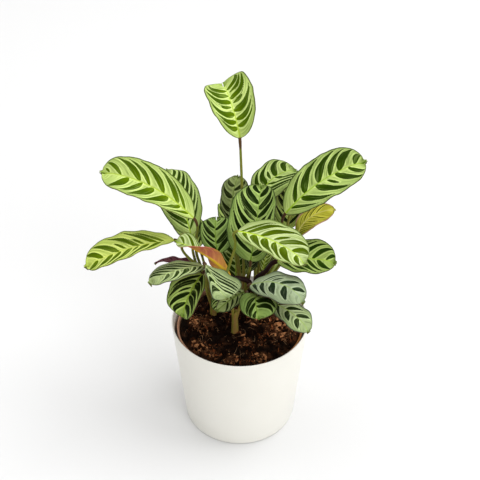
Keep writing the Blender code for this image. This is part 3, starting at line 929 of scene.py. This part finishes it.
# %% Looks
Look = namedtuple("Look", "inner outer bar_inner bar_outer rib edge roughness", defaults=(0.46,))
LOOKS = {
    "lime": Look((0.63, 0.76, 0.24), (0.50, 0.64, 0.19), (0.095, 0.165, 0), (0.05, 0.10, 0),
                 (0.40, 0.53, 0.05), (0.055, 0.085, 0.01)),
    "fresh": Look((0.70, 0.81, 0.20), (0.58, 0.70, 0.16), (0.10, 0.165, 0), (0.055, 0.10, 0),
                  (0.52, 0.62, 0.03), (0.06, 0.09, 0.01)),
    "silver": Look((0.48, 0.59, 0.37), (0.40, 0.50, 0.29), (0.016, 0.034, 0.012), (0.012, 0.024, 0.010),
                   (0.34, 0.48, 0.14), (0.04, 0.07, 0.04), 0.42),
    "frost": Look((0.57, 0.70, 0.33), (0.47, 0.59, 0.25), (0.026, 0.052, 0.004), (0.018, 0.036, 0.004),
                  (0.38, 0.52, 0.10), (0.04, 0.07, 0.04), 0.42),
    "cream": Look((0.58, 0.68, 0.32), (0.48, 0.59, 0.23), (0.08, 0.135, 0), (0.05, 0.085, 0),
                  (0.46, 0.62, 0.04), (0.10, 0.15, 0.03)),
    "mid": Look((0.58, 0.72, 0.22), (0.44, 0.58, 0.165), (0.032, 0.074, 0), (0.018, 0.044, 0),
                (0.33, 0.52, 0.03), (0.035, 0.06, 0.01)),
    "fern": Look((0.52, 0.66, 0.22), (0.39, 0.52, 0.15), (0.030, 0.068, 0), (0.016, 0.038, 0),
                 (0.31, 0.48, 0.03), (0.035, 0.06, 0.01)),
    "moss": Look((0.41, 0.54, 0.14), (0.31, 0.43, 0.10), (0.018, 0.050, 0), (0.010, 0.030, 0),
                 (0.28, 0.44, 0.03), (0.03, 0.05, 0.01)),
    "deep": Look((0.42, 0.57, 0.15), (0.28, 0.41, 0.10), (0.008, 0.022, 0), (0.005, 0.013, 0),
                 (0.16, 0.30, 0.02), (0.04, 0.07, 0.02), 0.44),
    "shade": Look((0.31, 0.45, 0.11), (0.235, 0.36, 0.09), (0.009, 0.020, 0), (0.006, 0.013, 0),
                  (0.16, 0.26, 0.02), (0.03, 0.05, 0.01)),
    "cool": Look((0.50, 0.62, 0.30), (0.39, 0.50, 0.22), (0.014, 0.030, 0.003), (0.010, 0.020, 0.004),
                 (0.34, 0.48, 0.10), (0.04, 0.07, 0.04), 0.42),
    "olive": Look((0.50, 0.66, 0.15), (0.34, 0.48, 0.11), (0.009, 0.020, 0), (0.006, 0.012, 0),
                  (0.30, 0.46, 0.03), (0.05, 0.07, 0.01)),
    "dusk": Look((0.27, 0.34, 0.11), (0.21, 0.265, 0.10), (0.013, 0.021, 0.002), (0.010, 0.015, 0.002),
                 (0.12, 0.18, 0.03), (0.04, 0.05, 0.02)),
    "gloom": Look((0.18, 0.235, 0.075), (0.13, 0.17, 0.055), (0.008, 0.013, 0.002), (0.006, 0.009, 0.002),
                  (0.10, 0.15, 0.02), (0.03, 0.04, 0.02)),
    "amber": Look((0.78, 0.77, 0.09), (0.60, 0.57, 0.04), (0.10, 0.13, 0), (0.08, 0.09, 0),
                  (0.72, 0.68, 0.20), (0.50, 0.26, 0.20), 0.44),
    "purple": Look((0.13, 0.030, 0.040), (0.10, 0.024, 0.034), (0.045, 0.012, 0.020), (0.040, 0.010, 0.018),
                   (0.12, 0.04, 0.035), (0.10, 0.03, 0.04), 0.40),
}
# Most leaves named here take a darker or paler copy of their tone's look: painted shade where they hang deep
# in the plant, painted light where they catch more of it.
LEAF_LOOKS = {
    "leaf_03": "fern", "leaf_04": "fresh", "leaf_05": "cream", "leaf_06": "shade", "leaf_07": "dusk",
    "leaf_09": "cream", "leaf_10": "fern", "leaf_15": "moss", "leaf_16": "silver", "leaf_18": "shade",
    "leaf_20": "dusk", "leaf_23": "frost", "leaf_25": "lime", "leaf_26": "gloom", "leaf_27": "moss",
    "leaf_28": "moss", "leaf_30": "fern", "leaf_31": "lime",
}
Underside = namedtuple("Underside", "ground bars rib")
UNDERSIDES = {
    "wine": Underside((0.13, 0.035, 0.045), (0.085, 0.022, 0.035), (0.20, 0.12, 0.06)),
    "rose": Underside((0.30, 0.20, 0.10), (0.20, 0.12, 0.06), (0.40, 0.42, 0.10)),
    "flushed": Underside((0.60, 0.195, 0.11), (0.37, 0.09, 0.068), (0.55, 0.35, 0.028)),
    "amber": Underside((0.40, 0.33, 0.016), (0.22, 0.24, 0.004), (0.62, 0.56, 0.06)),
    "purple": Underside((0.12, 0.026, 0.036), (0.08, 0.018, 0.028), (0.16, 0.04, 0.04)),
}
TONE_UNDERSIDES = {"lime": "rose", "flushed": "flushed", "amber": "amber", "purple": "purple"}
print("looks:", len(LOOKS), "and undersides:", len(UNDERSIDES))

# %% [markdown]
# Both faces read numbers from the mesh: the vein, the distances from the midrib and from the edge, the depth
# inside a bar, and the shares of the way to the tip and to the edge. From the vein and the distance out we
# also make a space that is stretched along the veins, so that noise in it turns into fine streaks.

# %% What the faces read
GRAIN_STRETCH = 0.10
BladeWires = namedtuple("BladeWires", "across edge depth along from_rib grain")


def blade_wires(finish):
    vein, across, edge = finish.attribute("blade")
    depth, along, from_rib = finish.attribute("marks")
    stretched = {0: vein * MM, 1: across * (GRAIN_STRETCH * MM), 2: along * MM}
    return BladeWires(across, edge, depth, along, from_rib, finish.node("CombineXYZ", {}, stretched))


print("a blade gives", len(BladeWires._fields), "wires")

# %% [markdown]
# On the upper face each mark is one soft step over those numbers. The ground comes first, in coats: soft
# bands along the veins, a hairline in the middle of each gap, painted shade towards the base of the amber
# leaf, a greener middle and paler sides of the gap, dark streaks and a greener margin. The bars are cut into
# it where the depth passes zero, and last come the dark outline and the pale midrib.


# %% Upper face of a blade
def ground_coats(name, look, blade, offset, streaks, broad):
    """The coats of the ground between the bars, each with its share and its colour."""
    out, u = abs(blade.across), abs(blade.from_rib)
    greener = [(pale + dark) / 2 for pale, dark in zip(look.outer, look.bar_inner)]
    paler = [min(1.0, 1.12 * part + 0.04) for part in look.inner]
    hairline = 1 - abs(offset).between(0.25, 0.95)
    hairline = hairline * u.between(0.04, 0.2) * streaks.between(0.34, 0.48)
    coats = [(broad.between(0.46, 0.62) * 0.35, greener), (hairline * 0.62, greener)]
    # Painted shade: the amber leaf darkens towards its base, where the leaf above shades it.
    if name == "amber":
        coats.append((blade.along.between(0.62, 0.18) * 0.8, look.bar_inner))
    lines = streaks.between(0.50, 0.62) * out.between(0.8, 3.0)
    margin = (u + (streaks - 0.5) * 0.9).between(0.66, 0.94)
    return coats + [
        (blade.depth.between(-0.7, -2.3) * 0.30, greener),
        (blade.depth.between(-1.4, -0.4) * 0.5, paler),
        (lines * 0.48, look.bar_inner),
        (margin * 0.6, greener),
    ]


def upper_face(name, look):
    finish = Finish("upper_" + name, specular_ior_level=0.03)
    blade = blade_wires(finish)
    out = abs(blade.across)
    streaks = finish.mottle(1.9, 4, 0.65, at=blade.grain)
    broad = finish.mottle(4.5, 2, 0.5, at=blade.grain)
    ragged = finish.mottle(1.3, 4, 0.6) - 0.5
    cloud = finish.mottle(8, 3)
    offset, _, _ = finish.attribute("gaps")
    ground = finish.mix((out + cloud * 3).between(1.5, 12), look.inner, look.outer)
    ground = finish.coats(ground, *ground_coats(name, look, blade, offset + ragged * 1.2, streaks, broad))
    darks = finish.mix(out.between(2, 12), look.bar_inner, look.bar_outer)
    darks = finish.mix((1 - streaks.between(0.34, 0.48)) * 0.20, darks, look.outer)
    bar = (blade.depth + ragged * 0.6 + (streaks - 0.5) * 1.1).between(-0.22, 0.28)
    blunt = 1 - blade.along.between(0.93, TIP_START)
    outline = (1 - (blade.edge + ragged * 0.6).between(0.5, 1.35)) * blunt
    rib = 1 - (out + blade.along * 0.35 + ragged * 0.3).between(0.30, 0.90)
    colour = finish.coats(ground, (bar, darks), (outline * 0.95, look.edge), (rib * 0.9, look.rib))
    finish.paint(base_color=colour, roughness=look.roughness + 0.12 * cloud)
    finish.bump(streaks + broad, 0.30)
    return finish


upper_faces = {name: upper_face(name, look) for name, look in LOOKS.items()}
print("upper finishes:", len(upper_faces))

# %% [markdown]
# The underside is calmer. Its bars show through as darker shadows, the ground is clouded and streaked, the
# rib's colour runs into the leaf near the base, and the tip is green on every leaf.


# %% Underside of a blade
def under_face(name, look):
    finish = Finish("under_" + name, specular_ior_level=0.03)
    blade = blade_wires(finish)
    cloud = finish.mottle(7, 4)
    streaks = finish.mottle(2.2, 3, 0.6, at=blade.grain)
    bar = (blade.depth + (cloud - 0.5) * 0.8).between(-0.8, 0.8)
    colour = finish.coats(
        look.ground,
        (streaks.between(0.36, 0.56) * 0.8, look.bars),
        (cloud.between(0.48, 0.66) * 0.55, look.rib),
        (bar * 0.55, look.bars),
        (1 - abs(blade.across).between(0.5, 1.3), look.rib),
        ((blade.along + cloud * 0.4).between(0.75, 0.25) * 0.6, look.rib),
        (blade.along.between(0.93, TIP_START), (0.13, 0.15, 0.04)),
    )
    finish.paint(base_color=colour, roughness=0.46 + 0.1 * cloud)
    finish.bump(streaks, 0.25)
    return finish


under_faces = {name: under_face(name, look) for name, look in UNDERSIDES.items()}
print("underside finishes:", len(under_faces))

# %% [markdown]
# ## Growing the blades
# A real blade is a third of a millimetre thick, with a groove over the midrib, a rib standing out below it
# and soft pleats along the side veins. We sample the curve finely, push the points along the surface's own
# direction for groove and pleats, and hang the lower face under the upper one. The edge ripples and is
# nibbled a little, and the fine blade sits inside the thicker solid that it stands for.


# %% A thin sheet
def surface_directions(points):
    """The direction out of the upper face at each point of a grid."""
    out = np.cross(np.gradient(points, axis=0), np.gradient(points, axis=1))
    return out / np.maximum(np.linalg.norm(out, axis=-1), 1e-9)[..., None]


def sheet_faces(rows, wide):
    """Faces and finish slots of a sheet: upper grid, lower grid and the rim that joins them."""
    upper = grid_faces(rows, wide)
    below = rows * wide
    faces = upper + [tuple(below + i for i in reversed(face)) for face in upper]
    for i in range(rows - 1):
        for near, far in ((i * wide, (i + 1) * wide), ((i + 2) * wide - 1, (i + 1) * wide - 1)):
            faces.append((far, near, near + below, far + below))
    for j in range(wide - 1):
        end = (rows - 1) * wide + j
        faces.append((j, j + 1, j + 1 + below, j + below))
        faces.append((end + 1, end, end + below, end + 1 + below))
    return faces, [0] * len(upper) + [1] * (len(faces) - len(upper))


print("faces of the smallest sheet:", len(sheet_faces(2, 2)[0]))

# %% Blade mesh
BLADE_THICKNESS = 0.34
SINK = 0.38  # the thicker solid reaches this much past the fine blade
RIB_HEIGHT = 1.0
RIB_HALF_WIDTH = 0.75
GROOVE_DEPTH = 0.35
GROOVE_HALF_WIDTH = 0.8
GROOVE_LEAST_HALF = 2.5  # no groove where the blade's half is narrower
PLEAT = 0.11
PLEAT_SPACING = 3.6
PLEAT_MARGIN = 3  # pleats fade this close to the midrib and the edge
RIPPLE = 0.65
RIPPLE_LENGTH = 3.1  # millimetres of edge for each radian of the wave
NIBBLE = 0.032
NIBBLE_WAVES = ((2.3, 1.0), (1.3, 0.8), (4.1, 1.0))  # each one's length like that, and its strength
NIBBLE_SPAN = 5.6  # from the lowest to the highest sum of those waves
COLUMN_COUNT = 63
COLUMN_CROWDING = 0.28  # columns stand closer together near the midrib
POINT_SPACING = 0.66
TIP_ROWS = 15
TIP_ZONE = 0.9


def blade_mesh(leaf):
    """Points, faces, finish slots and shader numbers of one blade."""
    body_rows = np.linspace(0, TIP_ZONE, math.ceil(leaf.length / POINT_SPACING))
    stations = np.unique(np.concatenate([body_rows, np.linspace(TIP_ZONE, 1, TIP_ROWS)]))
    even = np.linspace(-1, 1, COLUMN_COUNT)
    crowded = (1 - COLUMN_CROWDING) * even + COLUMN_CROWDING * even**3
    from_rib = np.tile(crowded, (len(stations), 1))
    rib_at = midrib_place(leaf, stations)[:, None]
    side_share = 1 - np.sign(from_rib) * rib_at
    phase = leaf.heading + 40 * np.sign(from_rib)
    length = stations[:, None] * leaf.length
    waves = enumerate(NIBBLE_WAVES, 1)
    uneven = sum(strength * np.sin(length / wave + n * phase) for n, (wave, strength) in waves)
    shrink = 1 - NIBBLE * (uneven / NIBBLE_SPAN + 0.5)
    top = blade_points(leaf, stations, (rib_at + from_rib * side_share) * shrink)
    out = surface_directions(top)
    fade = np.clip(stations * (1 - stations) * 9, 0, 1)[:, None]
    ripple = RIPPLE * np.abs(from_rib) ** 3 * np.sin(length / RIPPLE_LENGTH + 5 * phase) * fade
    top = top + out * ripple[..., None]
    half = blade_half(leaf, stations)[:, None] * side_share
    across = from_rib * half
    vein = vein_start(leaf, stations, from_rib)
    edge = half - np.abs(across)
    taper = np.clip(1.15 - stations, 0.1, 1)[:, None]
    groove = GROOVE_DEPTH * np.exp(-((across / GROOVE_HALF_WIDTH) ** 2)) * taper * (half > GROOVE_LEAST_HALF)
    calm = np.clip(edge / PLEAT_MARGIN, 0, 1) * np.clip(np.abs(across) / PLEAT_MARGIN, 0, 1)
    pleats = PLEAT * np.sin(math.tau * vein / PLEAT_SPACING) * calm
    rib = RIB_HEIGHT * np.exp(-((across / RIB_HALF_WIDTH) ** 2)) * taper
    thick = BLADE_THICKNESS + rib * np.clip(half / 2, 0, 1)
    upper = top + out * (pleats - groove - SINK)[..., None]
    lower = top + out * (pleats - thick - SINK)[..., None]
    points = np.vstack([upper.reshape(-1, 3), lower.reshape(-1, 3)]) + leaf.knee
    offset = gap_offset(leaf, stations, from_rib)
    depth = np.minimum(bar_depth(leaf, stations, from_rib), np.abs(offset) - LEAST_GAP)
    layers = {
        "blade": (vein, across, edge),
        "marks": (depth, stations[:, None] + 0 * across, from_rib),
        "gaps": (offset, 0 * offset, 0 * offset),
    }
    numbers = {name: np.tile(np.stack(layer, -1).reshape(-1, 3), (2, 1)) for name, layer in layers.items()}
    return points, *sheet_faces(*from_rib.shape), numbers


print("blade of the top leaf:", len(blade_mesh(LEAVES[0])[0]), "points")

# %% All the leaves
for leaf in LEAVES:
    points, faces, slots, numbers = blade_mesh(leaf)
    upper = upper_faces[LEAF_LOOKS.get(leaf.name, leaf.tone)]
    under = under_faces[TONE_UNDERSIDES.get(leaf.tone, "wine")]
    piece = make_piece(leaf.name + "_blade", points, faces, [upper, under], numbers, slots)
    stands_for(piece, leaf.name, "leaf_" + leaf.tone)
print("blades grown:", len(LEAVES))

# %% [markdown]
# ## Stalks and shoots
# Each blade hangs on a slender stalk with a short swollen joint at its top, which turns the leaf to the
# light. The joint is brown, the stalk below it olive, and a few stalks are wine-red all along. At the soil
# the stalks of one shoot stand together in a ribbed sheath. The path is the same smooth curve as in the
# solids, finely sampled.

# %% Path of a stalk
SHOOT_BOTTOM = 100.0
SHEATH_TOP = 142.0
SHEATH_RADII = (4.2, 2.7)
STALK_RADII = (1.7, 1.15)
STOUT_STALKS = {"leaf_05": 1.9, "leaf_15": 1.8}
STALK_START = 119.0
STALK_RING = 1.2  # the stalks start on a small ring inside the sheath
STALK_STEP = 0.6  # and this much higher for each radian round it
STALK_BEND = 5.0
JOINT_LENGTH = 11.0
JOINT_FULL = 4.0  # this far from the leaf the swelling starts to fade
JOINT_SWELL = 0.28


def smooth_path(knots):
    """Points of Blender's own automatic Bezier curve through the knots, in millimetres."""
    curve = bpy.data.curves.new("path", "CURVE")
    curve.dimensions = "3D"
    spline = curve.splines.new("BEZIER")
    spline.resolution_u = 14
    spline.bezier_points.add(len(knots) - 1)
    for place, knot in zip(knots, spline.bezier_points):
        knot.co = Vector(place) * MM
        knot.handle_left_type = "AUTO"
        knot.handle_right_type = "AUTO"
    guide = new_object("path", curve)
    bpy.context.view_layer.update()
    mesh = guide.to_mesh()
    found = np.array([vert.co for vert in mesh.vertices]) / MM
    guide.to_mesh_clear()
    bpy.data.objects.remove(guide, do_unlink=True)
    return found


def stalk_path(leaf, turn):
    """From inside the sheath up to the blade's base."""
    x, y = SHOOTS[leaf.shoot]
    knee = Vector(leaf.knee)
    along = Vector(blade_frame(leaf, [0.0])[0][0])
    slant = (along + (knee - Vector(leaf.via[-1])).normalized()).normalized()
    ring_x, ring_y = STALK_RING * math.cos(turn), STALK_RING * math.sin(turn)
    start = (x + ring_x, y + ring_y, STALK_START + STALK_STEP * turn)
    return smooth_path([start, *leaf.via, knee - slant * STALK_BEND, knee + along * 0.6])


print("points along the first stalk:", len(stalk_path(LEAVES[0], 0)))

# %% [markdown]
# One skin serves all stalks. It knows how far a point is from the leaf and from the soil, and how red the
# stalk is: 1 is wine-red, and below 0 even the joint stays green.

# %% Stalk finish
RED_STALKS = {
    "leaf_02": 0.3, "leaf_05": 1.0, "leaf_09": -0.6, "leaf_12": 0.4, "leaf_15": 1.0, "leaf_22": 0.7,
    "leaf_24": 0.8,
}
GRAIN_SQUEEZE = 0.06
skin = Finish("stalk_skin", specular_ior_level=0.10)
from_knee, height, red = skin.attribute("stalk")
streaky = skin.mottle(1.6, 4)
x_part, y_part, z_part = skin.place_parts()
squat = skin.node("CombineXYZ", {}, {0: x_part, 1: y_part, 2: z_part * GRAIN_SQUEEZE})
lengthwise = skin.mottle(1.5, 3, 0.6, at=squat)
low = skin.mix(lengthwise.between(0.42, 0.58), (0.25, 0.145, 0.042), (0.18, 0.18, 0.018))
high = skin.mix(lengthwise.between(0.40, 0.60), (0.19, 0.18, 0.030), (0.14, 0.19, 0.014))
wine = skin.mix(streaky, (0.006, 0.0015, 0.002), (0.028, 0.007, 0.004))
joint = 1 - (from_knee + streaky).between(JOINT_LENGTH - 1.0, JOINT_LENGTH + 1.5)
colour = skin.coats(
    low,
    (height.between(18, 60), high),
    (streaky.between(0.40, 0.70) * 0.4, (0.28, 0.25, 0.060)),
    (joint * red.between(-0.5, 0) * 0.9, (0.075, 0.028, 0.016)),
    ((red + streaky * 0.3).between(0.35, 0.9), wine),
)
skin.paint(base_color=colour, roughness=0.42 + 0.15 * streaky)
skin.bump(skin.mottle(0.7, 3), 0.08)
print("stalk finish nodes:", len(skin.tree.nodes))

# %% Sheath of a shoot
RIBS = 9
RIB_SHARE = 0.05
SHEATH_RINGS = 34
SHEATH_SIDES = 54
TONGUE = 2.4


def sheath(x, y):
    """A ribbed, tapering sleeve from under the soil to an oblique top."""
    levels = np.linspace(SHOOT_BOTTOM, SHEATH_TOP - 1, SHEATH_RINGS)[:, None]
    turns = np.arange(SHEATH_SIDES) / SHEATH_SIDES * math.tau
    share = (levels - SHOOT_BOTTOM) / (SHEATH_TOP - SHOOT_BOTTOM)
    radius = SHEATH_RADII[0] + (SHEATH_RADII[1] - SHEATH_RADII[0]) * share
    ribbed = radius * (1 - RIB_SHARE * np.abs(np.sin(RIBS / 2 * turns)))
    tongue = TONGUE * np.cos(turns) * np.clip((share - 0.8) / 0.2, 0, 1) - TONGUE * (share > 0.79)
    rings = np.stack([x + ribbed * np.cos(turns), y + ribbed * np.sin(turns), levels + tongue], -1)
    return rings.reshape(-1, 3), capped_faces(SHEATH_RINGS, SHEATH_SIDES)


print("sheath faces:", len(sheath(0, 0)[1]))

# %% All the shoots
STALK_SIDES = 14
FAR_FROM_KNEE = 99
for shoot, (x, y) in SHOOTS.items():
    parts = [sheath(x, y)]
    labels = [np.tile((FAR_FROM_KNEE, 0.0), (len(parts[0][0]), 1))]
    own = [leaf for leaf in LEAVES if leaf.shoot == shoot]
    for i, leaf in enumerate(own):
        path = stalk_path(leaf, math.tau * i / len(own))
        steps = np.linalg.norm(np.diff(path, axis=0), axis=1)
        run = np.concatenate([[0], np.cumsum(steps)])
        to_knee = run[-1] - run
        radius = STALK_RADII[0] + (STALK_RADII[1] - STALK_RADII[0]) * run / run[-1]
        radius *= STOUT_STALKS.get(leaf.name, 1.0)
        radius += JOINT_SWELL * np.clip((JOINT_LENGTH - to_knee) / (JOINT_LENGTH - JOINT_FULL), 0, 1)
        parts.append(tube(path, radius, STALK_SIDES))
        label = np.stack([to_knee, 0 * to_knee + RED_STALKS.get(leaf.name, 0.0)], -1)
        labels.append(np.repeat(label, STALK_SIDES, axis=0))
    points, faces = joined(parts)
    knees, reds = np.vstack(labels).T
    numbers = {"stalk": np.stack([knees, points[:, 2] - SOIL_LEVEL, reds], -1)}
    piece = make_piece(shoot + "_skin", points, faces, [skin], numbers, sharp=60)
    stands_for(piece, shoot, "stalks")
    print(shoot, "stalks:", len(own))
